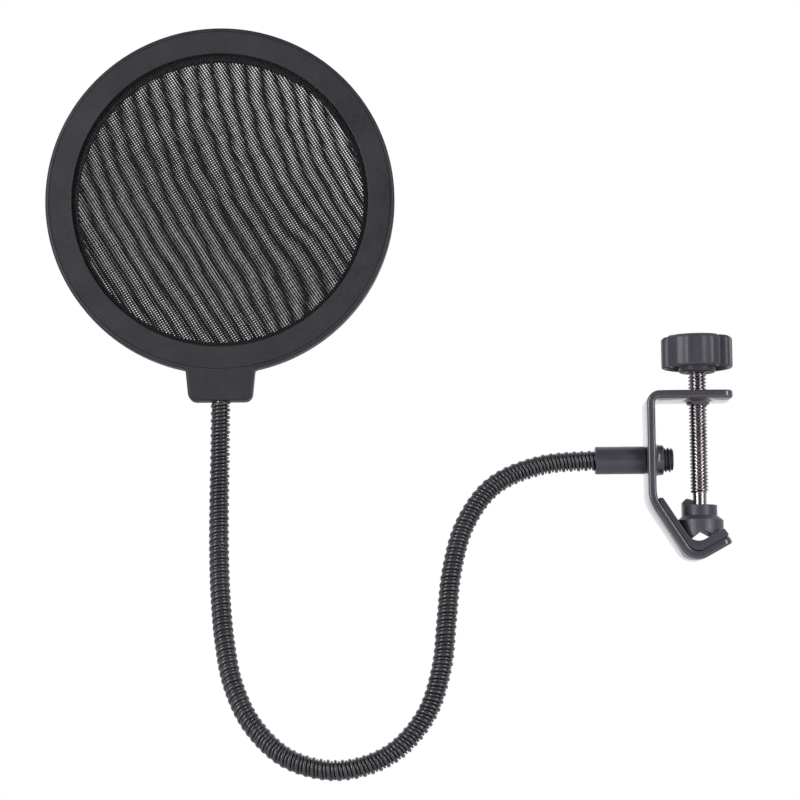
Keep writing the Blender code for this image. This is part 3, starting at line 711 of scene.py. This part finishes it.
def smooth_route(points, spacing):
    """Points a fixed distance apart along a centripetal curve through the route's own points."""
    dense = []
    for index in range(len(points) - 1):
        a, b = points[index], points[index + 1]
        before = points[index - 1] if index else a * 2 - b
        after = points[index + 2] if index + 2 < len(points) else b * 2 - a
        span = math.sqrt((b - a).length)
        span_before = math.sqrt((a - before).length)
        span_after = math.sqrt((after - b).length)
        leave = (a - before) / span_before - (b - before) / (span_before + span) + (b - a) / span
        reach = (b - a) / span - (after - a) / (span + span_after) + (after - b) / span_after
        leave = leave * span
        reach = reach * span
        for step in range(40):
            t = step / 40
            dense.append(
                a * (2 * t**3 - 3 * t**2 + 1) + leave * (t**3 - 2 * t**2 + t)
                + b * (3 * t**2 - 2 * t**3) + reach * (t**3 - t**2)
            )
    dense.append(points[-1])
    dense = np.array([list(point) for point in dense])
    lengths = np.concatenate([[0.0], np.cumsum(np.linalg.norm(np.diff(dense, axis=0), axis=1))])
    even = np.linspace(0.0, lengths[-1], max(2, int(round(lengths[-1] / spacing)) + 1))
    line = np.stack([np.interp(even, lengths, dense[:, axis]) for axis in range(3)], axis=1)
    return line, even


def carried_frames(line):
    """Two normals at each point of a line, carried along it without twist."""
    tangents = np.gradient(line, axis=0)
    tangents /= np.linalg.norm(tangents, axis=1)[:, None]
    first = np.cross(tangents[0], [0.0, 1.0, 0.0])
    first /= np.linalg.norm(first)
    normals = [first]
    for tangent in tangents[1:]:
        carried = normals[-1] - tangent * (normals[-1] @ tangent)
        normals.append(carried / np.linalg.norm(carried))
    normals = np.array(normals)
    return normals, np.cross(tangents, normals)


ROUTE = [Vector(point) * MM for point in reversed(ARM_ROUTE)]
LINE, ALONG = smooth_route(ROUTE, 0.25 * MM)
NORMALS, BINORMALS = carried_frames(LINE)


def on_line(table, s):
    """A table's values at lengths along the arm."""
    return np.stack([np.interp(s, ALONG, table[:, axis]) for axis in range(3)], axis=-1)


def wound_wire(start, stop, section, phase):
    """A wire wound round the arm's line between two lengths along it.

    section is a closed list of (radius from the line, offset along it).
    """
    per_turn = 26
    count = max(4, int(round((stop - start) / COIL_PITCH * per_turn)))
    s = np.linspace(start, stop, count + 1)
    # The winding's angle is counted from the arm's start, so that stretches meet exactly.
    angle = TAU * s / COIL_PITCH + phase
    points = []
    for radius, offset in section:
        place = np.clip(s + offset, 0.0, ALONG[-1])
        centre = on_line(LINE, place)
        normal = on_line(NORMALS, place)
        binormal = on_line(BINORMALS, place)
        out = normal * np.cos(angle)[:, None] + binormal * np.sin(angle)[:, None]
        points.append(centre + out * radius)
    points = np.stack(points, axis=1)
    return mesh_from(points.reshape(-1, 3), tube_faces(0, count + 1, len(section)))


def soft_section(middle, deep, wide, count, power=2.4):
    """A rounded section (radius, offset), between an ellipse and its box."""
    points = []
    for step in range(count):
        cosine = math.cos(TAU * step / count)
        sine = math.sin(TAU * step / count)
        points.append(
            (
                middle + deep * math.copysign(abs(cosine) ** (2 / power), cosine),
                wide * math.copysign(abs(sine) ** (2 / power), sine),
            )
        )
    return points


ROUND_WIRE = soft_section(3.50 * MM, 0.92 * MM, 0.79 * MM, 14)
WEDGE_WIRE = [
    (3.80 * MM, -0.46 * MM), (3.94 * MM, -0.30 * MM), (4.00 * MM, 0.0), (3.94 * MM, 0.30 * MM),
    (3.80 * MM, 0.46 * MM), (3.25 * MM, 0.50 * MM), (2.80 * MM, 0.96 * MM), (2.62 * MM, 0.80 * MM),
    (2.62 * MM, -0.80 * MM), (2.80 * MM, -0.96 * MM), (3.25 * MM, -0.50 * MM),
]


def make_arm():
    """The two wires, in stretches that meet halfway between bends, one stretch over each bend."""
    bends = [joint for joint in frame["joints"] if joint["name"].startswith("neck_bend")]
    bends.append(joint_named("head_tilt"))
    stations = []
    for joint in bends:
        distance = np.linalg.norm(LINE - np.array(joint["pos_m"]), axis=1)
        stations.append(ALONG[int(distance.argmin())])
    length = ALONG[-1]
    meets = [0.0]
    meets += [(a + b) / 2 for a, b in zip(stations, stations[1:])]
    meets.append(length - 0.05 * MM)
    for index, joint in enumerate(bends):
        last = index == len(bends) - 1
        for kind, section, phase in (
            ("round", ROUND_WIRE, 0.0), ("wedge", WEDGE_WIRE, math.pi),
        ):
            mesh = wound_wire(meets[index], meets[index + 1], section, phase)
            wire = piece(f"neck_{kind}_wire_{index + 1}", mesh, COIL_LOOK, 40.0)
            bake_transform(wire)
            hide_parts(f"neck_link_{index + 1}")
            if last:
                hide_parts(f"neck_link_{index + 2}")


# ---------------------------------------------------------------- threads

def threaded(length, root, crest, pitch, lead_in):
    """A right-handed thread about Z from 0 to a length, tapered at both ends and closed by flat ones."""
    steps = 48
    flank = 0.30 * pitch
    half_crest = 0.10 * pitch
    section = (
        (root, 0.0), (root + 0.15 * (crest - root), 0.10 * pitch),
        (crest - 0.12 * (crest - root), 0.10 * pitch + flank),
        (crest, 0.5 * pitch - half_crest * 0.6),
        (crest, 0.5 * pitch + half_crest * 0.6),
        (crest - 0.12 * (crest - root), 0.90 * pitch - flank),
        (root + 0.15 * (crest - root), 0.90 * pitch),
    )
    turns = int(math.ceil(length / pitch)) + 3
    count = len(section)
    points = []
    for index in range(turns * steps + 1):
        angle = TAU * index / steps
        for radius, offset in section:
            height = pitch * (index / steps - 1.5) + offset
            from_end = min(height, length - height)
            radius = min(radius, root + max(0.0, from_end) / lead_in * (crest - root) + 1e-5)
            points.append((radius * math.cos(angle), radius * math.sin(angle), height))
    faces = []
    for index in range(turns * steps):
        low = index * count
        high = low + count
        for side in range(count - 1):
            faces.append((low + side, high + side, high + side + 1, low + side + 1))
        above = low + steps * count
        if above + count < len(points):
            faces.append((low + count - 1, high + count - 1, above + count, above))
    mesh = mesh_from(points, faces)
    mesh = cut_flat(mesh, Vector((0.0, 0.0, length)), (0.0, 0.0, 1.0))
    return cut_flat(mesh, Vector((0.0, 0.0, 0.0)), (0.0, 0.0, -1.0))


# ---------------------------------------------------------------- the clamp

# The outer lines of the jaw's two slanted legs, each a point and a direction in the XZ plane.
LEFT_LEG = (Vector((-20.8, 13.9)) * MM, Vector((0.543, -0.840)))
RIGHT_LEG = (Vector((1.75, -7.0)) * MM, Vector((0.875, 0.484)))


def leg_corner(left_offset, right_offset):
    """Where two lines parallel to the jaw's legs cross, each moved into the jaw by its offset."""
    a, u = LEFT_LEG
    b, v = RIGHT_LEG
    a = a + Vector((-u.y, u.x)) * left_offset
    b = b + Vector((-v.y, v.x)) * right_offset
    along = (b - a).cross(v) / u.cross(v)
    return a + u * along


def on_leg(leg, offset, along):
    point, direction = leg
    return point + Vector((-direction.y, direction.x)) * offset + direction * along


def strip_line():
    """The strip's outer line, from the top arm's tip down the spine and round the jaw to the other tip."""
    return (
        (14.2 * MM, TOP_ARM_Z, 0.0),
        (SPINE_X, TOP_ARM_Z, 5.6 * MM),
        (SPINE_X, 17.3 * MM, 15.0 * MM),
        (-4.9 * MM, -10.7 * MM, 8.4 * MM),
        (12.9 * MM, -0.85 * MM, 0.0),
    )


def strip_section(half_width, thickness, squeeze):
    """The strip's cross-section, (across, inward), with its rolled edges; squeeze thins it at a tip."""
    edge = 1.15 * MM
    points = []
    for centre, start in (
        ((half_width - edge, edge), -90.0), ((half_width - edge, thickness - edge), 0.0),
        ((-half_width + edge, thickness - edge), 90.0), ((-half_width + edge, edge), 180.0),
    ):
        points.extend(arc(centre, edge, start, start + 90.0, 5))
    middle = thickness / 2
    return [(across, middle + (depth - middle) * squeeze) for across, depth in points]


def bent_strip():
    """The strip's section carried along its line, narrowed and thinned to a rounded end at each tip."""
    line = rounded(strip_line(), 4.0)
    tip = 4.0 * MM
    roll = 1.3 * MM
    ends = []
    for step in range(13):
        along = tip * (1.0 - math.cos(math.radians(90.0 * step / 12)))
        narrowing = tip - math.sqrt(max(0.0, tip**2 - (tip - along) ** 2))
        within = min(along / roll, 1.0)
        squeeze = 0.42 + 0.58 * math.sqrt(1.0 - (1.0 - within) ** 2)
        ends.append((along, narrowing, squeeze))
    rows = []
    for along, narrowing, squeeze in ends:
        direction = (line[1] - line[0]).normalized()
        rows.append((line[0] + direction * along, narrowing, squeeze))
    rows += [(point, 0.0, 1.0) for point in line[1:-1]]
    for along, narrowing, squeeze in reversed(ends):
        direction = (line[-2] - line[-1]).normalized()
        rows.append((line[-1] + direction * along, narrowing, squeeze))
    points = []
    places = [row[0] for row in rows]
    for index, (place, narrowing, squeeze) in enumerate(rows):
        before = places[max(index - 1, 0)]
        after = places[min(index + 1, len(places) - 1)]
        tangent = (after - before).normalized()
        inward = Vector((-tangent.y, tangent.x))
        for across, depth in strip_section(STRIP_WIDTH / 2 - narrowing, STRIP_THICKNESS, squeeze):
            spot = place + inward * depth
            points.append((spot.x, across, spot.y))
    return mesh_from(points, tube_faces(0, len(rows), len(points) // len(rows)))


def make_bracket():
    strip = bent_strip()
    under = TOP_ARM_Z - STRIP_THICKNESS
    inside = SPINE_X + STRIP_THICKNESS
    stub_place = Matrix.Translation((0.0, 0.0, ARM_HEIGHT)) @ ALONG_X
    collar = (
        (6.7 * MM, under + 0.8 * MM), (6.7 * MM, under - 0.02 * MM), (5.9 * MM, under - 0.2 * MM),
        (5.2 * MM, under - 0.7 * MM), (4.95 * MM, under - 1.6 * MM), (4.8 * MM, under - 1.85 * MM),
        (0.0, under - 1.85 * MM), (0.0, under + 0.8 * MM),
    )
    boss = (
        (6.2 * MM, inside + 4.0 * MM), (6.5 * MM, inside + 3.7 * MM), (6.6 * MM, inside + 2.0 * MM),
        (7.0 * MM, inside + 0.9 * MM), (8.0 * MM, inside + 0.2 * MM), (8.8 * MM, inside - 0.02 * MM),
        (8.8 * MM, inside - 0.8 * MM), (0.0, inside - 0.8 * MM), (0.0, inside + 4.0 * MM),
    )
    solid = combined(strip, "UNION", lathe(collar, 64), lathe(boss, 64, stub_place))
    screw_hole = lathe(((4.3 * MM, 80 * MM), (4.3 * MM, 50 * MM), (0.0, 50 * MM), (0.0, 80 * MM)), 64)
    stub_hole = lathe(
        ((5.7 * MM, -5 * MM), (5.7 * MM, -35 * MM), (0.0, -35 * MM), (0.0, -5 * MM)), 64, stub_place
    )
    solid = combined(solid, "DIFFERENCE", screw_hole, stub_hole)
    bracket = piece("clamp_strip", solid, CLAMP_LOOK, 38.0)
    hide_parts("clamp_bracket")
    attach(bracket, "clamp")


def liner_outline():
    top_back = on_leg(LEFT_LEG, 4.25 * MM, -2.6 * MM)
    straight_back = on_leg(LEFT_LEG, LINER_BACK, 0.4 * MM)
    top_seat = on_leg(LEFT_LEG, LEFT_SEAT, -1.5 * MM)
    seat = leg_corner(LEFT_SEAT, RIGHT_SEAT)
    end_seat = on_leg(RIGHT_LEG, RIGHT_SEAT, 12.2 * MM)
    end_back = on_leg(RIGHT_LEG, LINER_BACK, 12.6 * MM)
    back = leg_corner(LINER_BACK, LINER_BACK)
    return rounded(
        (
            (*top_back, 0.3 * MM), (*straight_back, 0.0), (*back, 5.4 * MM), (*end_back, 0.8 * MM),
            (*end_seat, 0.8 * MM), (*seat, 5.6 * MM), (*top_seat, 0.3 * MM),
        ),
        6.0,
    )


def make_liner():
    body = prism((liner_outline(),), STRIP_WIDTH - 0.8 * MM, 0.35 * MM, UPRIGHT_OUTLINE, 2)
    liner = piece("jaw_pad", body, PAD_LOOK)
    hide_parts("jaw_liner")
    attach(liner, "clamp")


def make_foot():
    """The foot, with the ball's socket above, and its underside shaped to the vee and notched."""
    top = 15.8 * MM
    outer = (
        (3.6 * MM, top), (6.9 * MM, top), (7.25 * MM, top - 0.1 * MM), (7.4 * MM, top - 0.4 * MM),
        (7.4 * MM, 11.5 * MM), (7.55 * MM, 11.15 * MM), (9.6 * MM, 9.55 * MM), (9.9 * MM, 9.3 * MM),
        (10.0 * MM, 8.9 * MM), (10.0 * MM, -2.0 * MM), (0.0, -2.0 * MM), (0.0, top),
    )
    foot = lathe(outer, 96)
    ear_outline = rounded(
        (
            (-7.35 * MM, 11.0 * MM, 0.0), (-2.6 * MM, 11.0 * MM, 0.0), (-2.6 * MM, 18.1 * MM, 0.3 * MM),
            (-5.8 * MM, 18.75 * MM, 0.3 * MM), (-7.35 * MM, 17.2 * MM, 0.3 * MM),
        ),
        15.0,
    )
    ear = prism(
        (ear_outline,), 7.0 * MM, 0.25 * MM,
        Matrix.Translation((0.0, 3.0 * MM, 0.0)) @ UPRIGHT_OUTLINE, 2,
    )
    foot = combined(foot, "UNION", ear)
    ball, mouth = 4.4 * MM, 3.5 * MM
    socket = []
    first = math.asin(mouth / ball)
    for step in range(13):
        angle = first + (math.pi - first) * step / 12
        socket.append((ball * math.sin(angle), BALL_HEIGHT + ball * math.cos(angle)))
    cup = lathe(((0.0, top + 5 * MM), (mouth, top + 5 * MM), *socket), 64)
    clear = 0.05 * MM
    left_low = leg_corner(LEFT_SEAT + clear, RIGHT_SEAT + clear)
    left_top = on_leg(LEFT_LEG, LEFT_SEAT + clear, -20.0 * MM)
    right_top = on_leg(RIGHT_LEG, RIGHT_SEAT + clear, 30.0 * MM)
    under = rounded(
        (
            (*left_top, 0.0), (*left_low, 5.3 * MM), (*right_top, 0.0),
            (right_top.x, -30 * MM, 0.0), (left_top.x, -30 * MM, 0.0),
        ),
        6.0,
    )
    seat = prism((under,), 40 * MM, 0.0, UPRIGHT_OUTLINE)
    notch_outline = ((0.6 * MM, 5.0 * MM), (-11.4 * MM, -4.4 * MM), (14.6 * MM, -3.1 * MM))
    notch = prism((notch_outline,), 40 * MM, 0.0, UPRIGHT_OUTLINE)
    foot = combined(foot, "DIFFERENCE", cup, seat, notch)
    pad = piece("pressure_foot", foot, FOOT_LOOK, 30.0)
    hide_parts("swivel_foot")
    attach(pad, "foot")


def make_screw():
    start = SHANK_TOP
    stop = SCREW_TOP - 0.3 * MM
    thread = threaded(stop - start, 3.08 * MM, 4.0 * MM, SCREW_PITCH, 0.7 * MM)
    thread.transform(Matrix.Translation((0.0, 0.0, start)))
    ball, shank = 4.0 * MM, 3.0 * MM
    profile = [(0.0, start + 0.5 * MM), (shank, start + 0.5 * MM)]
    first = math.asin(shank / ball)
    for step in range(15):
        angle = first + (math.pi - first) * step / 14
        profile.append((ball * math.sin(angle), BALL_HEIGHT + ball * math.cos(angle)))
    tip = lathe(profile, 72)
    spindle = piece("spindle", joined(thread, tip), SCREW_LOOK, 40.0)
    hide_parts("clamp_screw")
    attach(spindle, "spindle")


def grip_radius(angle, inset, ribs=1.0):
    """The knob's outline: three broad ribbed grips, parted by three notches."""
    lobe = (math.degrees(angle) + KNOB_NOTCH_TURN) % 120.0
    away = min(lobe, 120.0 - lobe)
    notch = math.exp(-((away / 8.0) ** 2))
    radius = KNOB_RADIUS - inset - 3.0 * MM * notch
    radius -= ribs * 0.13 * MM * (1.0 + math.cos(18.0 * angle)) * (1.0 - notch)
    return radius


def make_knob():
    """The knob as rings of points, from the middle of its top round to the bore in its hub."""
    high = KNOB_HIGH.z - 0.1 * MM
    low = KNOB_HIGH.z - RIM_HEIGHT
    steps = 240
    hub = 8.0 * MM
    hub_low = KNOB_LOW.z
    recess = high - 2.6 * MM
    rings = [
        ("point", 0.0, high), ("lobed", 6.0 * MM, high), ("lobed", 2.4 * MM, high - 0.10 * MM),
        ("lobed", 1.2 * MM, high - 0.34 * MM), ("lobed", 0.5 * MM, high - 0.75 * MM),
        ("lobed", 0.12 * MM, high - 1.3 * MM), ("lobed", 0.0, high - 2.0 * MM),
        ("lobed", 0.0, low + 1.0 * MM), ("lobed", 0.08 * MM, low + 0.45 * MM),
        ("lobed", 0.35 * MM, low + 0.1 * MM), ("lobed", 0.7 * MM, low), ("lobed", 1.8 * MM, low),
        ("lobed", 2.1 * MM, low + 0.3 * MM), ("lobed", 2.3 * MM, recess - 0.5 * MM),
        ("lobed", 2.8 * MM, recess), ("round", hub + 0.9 * MM, recess), ("round", hub, recess - 0.9 * MM),
        ("round", hub, hub_low + 1.0 * MM), ("round", hub - 0.25 * MM, hub_low + 0.3 * MM),
        ("round", hub - 0.9 * MM, hub_low), ("round", 4.7 * MM, hub_low),
        ("round", 4.3 * MM, hub_low + 0.4 * MM), ("round", 4.3 * MM, low + 8.2 * MM),
        ("point", 0.0, low + 8.2 * MM),
    ]
    points = []
    loops = []
    for kind, size, height in rings:
        if kind == "point":
            loops.append([len(points)] * steps)
            points.append((0.0, 0.0, height))
            continue
        loops.append(list(range(len(points), len(points) + steps)))
        for step in range(steps):
            angle = TAU * step / steps
            if kind == "lobed":
                radius = grip_radius(angle, size, 1.0 if size < 1.0 * MM else 0.35)
            else:
                radius = size
            points.append((radius * math.cos(angle), radius * math.sin(angle), height))
    faces = []
    for first, second in zip(loops, loops[1:]):
        for step in range(steps):
            following = (step + 1) % steps
            face = [first[step], first[following], second[following], second[step]]
            faces.append(list(dict.fromkeys(face)))
    knob = piece("grip_knob", mesh_from(points, faces), KNOB_LOOK, 50.0)
    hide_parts("clamp_knob")
    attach(knob, "spindle")


def make_bushing_and_sleeve():
    place = Matrix.Translation((0.0, 0.0, ARM_HEIGHT)) @ ALONG_X
    shoulder = SPINE_X + 0.8 * MM
    length = STUB_TIP - shoulder
    thread = threaded(length, 4.45 * MM, 5.4 * MM, STUB_PITCH, 0.9 * MM)
    thread.transform(place @ Matrix.Translation((0.0, 0.0, shoulder)))
    peg = lathe(
        ((0.0, shoulder + 1.0 * MM), (2.45 * MM, shoulder + 1.0 * MM),
         (2.45 * MM, shoulder - 16.0 * MM), (0.0, shoulder - 16.5 * MM)),
        32, place,
    )
    bushing = piece("threaded_bushing", joined(thread, peg), FITTING_LOOK, 40.0)
    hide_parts("neck_bushing")
    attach(bushing, "clamp")
    outer = SLEEVE_RADIUS
    bore = 4.7 * MM
    right = SLEEVE_HIGH.x
    left = SLEEVE_LOW.x
    profile = (
        (outer - 0.30 * MM, right), (outer - 0.08 * MM, right - 0.09 * MM), (outer, right - 0.32 * MM),
        (outer, left + 0.34 * MM), (outer - 0.08 * MM, left + 0.10 * MM), (outer - 0.32 * MM, left),
        (bore + 0.3 * MM, left), (bore, left + 0.3 * MM), (bore, right),
    )
    sleeve = piece("sleeve_tube", lathe(profile, 120, place), SLEEVE_LOOK, 30.0)
    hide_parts("neck_sleeve")
    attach(sleeve, "clamp")


def dress_frame_nodes():
    looks = {
        "mesh_spacer_ring": HOOP_LOOK, "neck_end_fitting": BRASS_LOOK, "knob_nut": SCREW_LOOK,
        "tab_screw_left": FITTING_LOOK, "tab_screw_right": FITTING_LOOK,
    }
    for name, look in looks.items():
        mesh = frame["nodes"][name].data
        mesh.materials.clear()
        mesh.materials.append(look)


# ---------------------------------------------------------------- camera, light and floor

def make_camera():
    """A long lens from the front, a little below the hoop and looking slightly up."""
    pitch = math.radians(6.5)
    roll = math.radians(-0.5)
    forward = Vector((0.0, math.cos(pitch), math.sin(pitch)))
    level = Vector((1.0, 0.0, 0.0))
    lift = level.cross(forward)
    right = level * math.cos(roll) + lift * math.sin(roll)
    up = lift * math.cos(roll) - level * math.sin(roll)
    place = Vector((-128.65, -1192.29, -73.29)) * MM
    data = bpy.data.cameras.new("camera")
    data.sensor_width = 36.0
    data.lens = 124.92
    data.clip_end = 50.0
    camera = bpy.data.objects.new("camera", data)
    turn = Matrix((right, up, -forward)).transposed().to_4x4()
    camera.matrix_world = Matrix.Translation(place) @ turn
    bpy.context.scene.collection.objects.link(camera)
    bpy.context.scene.camera = camera


def area_light(name, place, target, size, power, tint):
    data = bpy.data.lights.new(name, "AREA")
    data.shape = "RECTANGLE"
    data.size, data.size_y = size
    data.energy = power
    data.color = tint
    light = bpy.data.objects.new(name, data)
    turn = (Vector(target) - Vector(place)).to_track_quat("-Z", "Y").to_matrix().to_4x4()
    light.matrix_world = Matrix.Translation(place) @ turn
    bpy.context.scene.collection.objects.link(light)


def make_light():
    """A white room behind and beside the object, a dim one before it, and two soft boxes in front."""
    world = bpy.data.worlds.new("studio")
    bpy.context.scene.world = world
    world.use_nodes = True
    tree = world.node_tree
    tree.nodes.clear()
    output = tree.nodes.new("ShaderNodeOutputWorld")
    place = tree.nodes.new("ShaderNodeTexCoord")
    split = tree.nodes.new("ShaderNodeSeparateXYZ")
    tree.links.new(place.outputs["Generated"], split.inputs["Vector"])
    ramp = tree.nodes.new("ShaderNodeMapRange")
    ramp.inputs["From Min"].default_value = -0.25
    ramp.inputs["From Max"].default_value = 0.70
    ramp.inputs["To Min"].default_value = 0.12
    ramp.inputs["To Max"].default_value = 1.0
    tree.links.new(split.outputs["Y"], ramp.inputs["Value"])
    room = tree.nodes.new("ShaderNodeBackground")
    room.inputs["Color"].default_value = (1.0, 0.97, 1.0, 1.0)
    tree.links.new(ramp.outputs["Result"], room.inputs["Strength"])
    seen = tree.nodes.new("ShaderNodeBackground")
    seen.inputs["Color"].default_value = (1.0, 1.0, 1.0, 1.0)
    rays = tree.nodes.new("ShaderNodeLightPath")
    mix = tree.nodes.new("ShaderNodeMixShader")
    tree.links.new(rays.outputs["Is Camera Ray"], mix.inputs["Fac"])
    tree.links.new(room.outputs["Background"], mix.inputs[1])
    tree.links.new(seen.outputs["Background"], mix.inputs[2])
    tree.links.new(mix.outputs["Shader"], output.inputs["Surface"])
    middle = (-0.12, 0.0, 0.03)
    area_light("left soft box", (-1.15, -1.05, 0.35), middle, (0.45, 1.3), 16.0, (1.0, 0.985, 1.0))
    area_light("right soft box", (0.95, -1.05, 0.35), middle, (0.45, 1.3), 13.0, (1.0, 0.985, 1.0))


def make_floor():
    """A plain round floor under the arm's lowest point."""
    steps = 128
    radius = 1.5
    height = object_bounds()[0][2] - 0.06
    points = [(0.0, 0.0, height)]
    points += [
        (-0.1 + radius * math.cos(TAU * step / steps), radius * math.sin(TAU * step / steps), height)
        for step in range(steps)
    ]
    faces = [(0, 1 + step, 1 + (step + 1) % steps) for step in range(steps)]
    made = Nodes("floor")
    made.base(made.colours(made.noise(3.0), (0.80, 0.79, 0.80), (0.84, 0.83, 0.84)))
    made.shader.inputs["Roughness"].default_value = 0.8
    floor = piece("floor", mesh_from(points, faces), made.material)


make_camera()
make_hoop()
make_arm()
make_bracket()
make_liner()
make_foot()
make_screw()
make_knob()
make_bushing_and_sleeve()
dress_frame_nodes()
make_light()
make_floor()

bpy.context.scene.view_settings.view_transform = "Standard"
